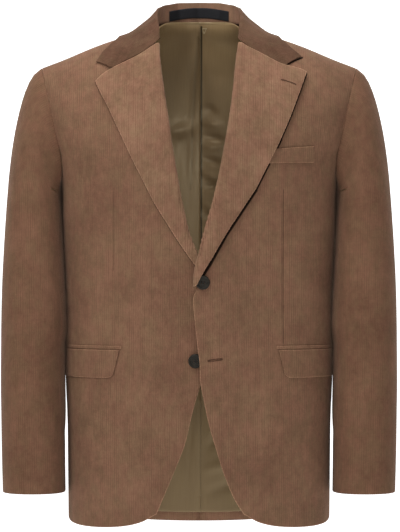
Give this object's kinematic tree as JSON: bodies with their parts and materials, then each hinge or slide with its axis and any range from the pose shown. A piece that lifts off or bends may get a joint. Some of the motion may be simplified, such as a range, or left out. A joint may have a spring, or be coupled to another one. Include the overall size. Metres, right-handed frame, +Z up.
{
  "type": "corduroy jacket",
  "caption": "Single-breasted two-button jacket in fine corduroy, notched lapels, flap pockets, lined back, filled out as worn.",
  "frame": {"origin": "between the shoulders, level with the points where the collar crosses the shoulder seams, where the wearer's shoulders carry the jacket", "axes": "+X to the wearer's left, +Y to the wearer's back, +Z up"},
  "size_m": [0.5888, 0.2734, 0.7988],
  "materials": {
    "corduroy": "fine brown corduroy, soft cut pile with a light sheen at its edges",
    "lining_satin": "olive-brown satin lining",
    "button_horn": "dark horn-like resin, satin",
    "label_cloth": "bare black woven tape"
  },
  "bodies": {
    "root": {"front_left": "corduroy", "front_right": "corduroy", "back_left": "corduroy", "back_right": "corduroy", "lapel_left": "corduroy", "lapel_right": "corduroy", "collar": "corduroy", "top_sleeve_left": "corduroy", "top_sleeve_right": "corduroy", "under_sleeve_left": "corduroy", "under_sleeve_right": "corduroy", "breast_welt": "corduroy", "jet_left": "corduroy", "jet_right": "corduroy", "flap_left": "corduroy", "flap_right": "corduroy", "button_top": "button_horn", "button_lower": "button_horn", "lining_left": "lining_satin", "lining_right": "lining_satin", "label": "label_cloth"}
  },
  "joints": []
}
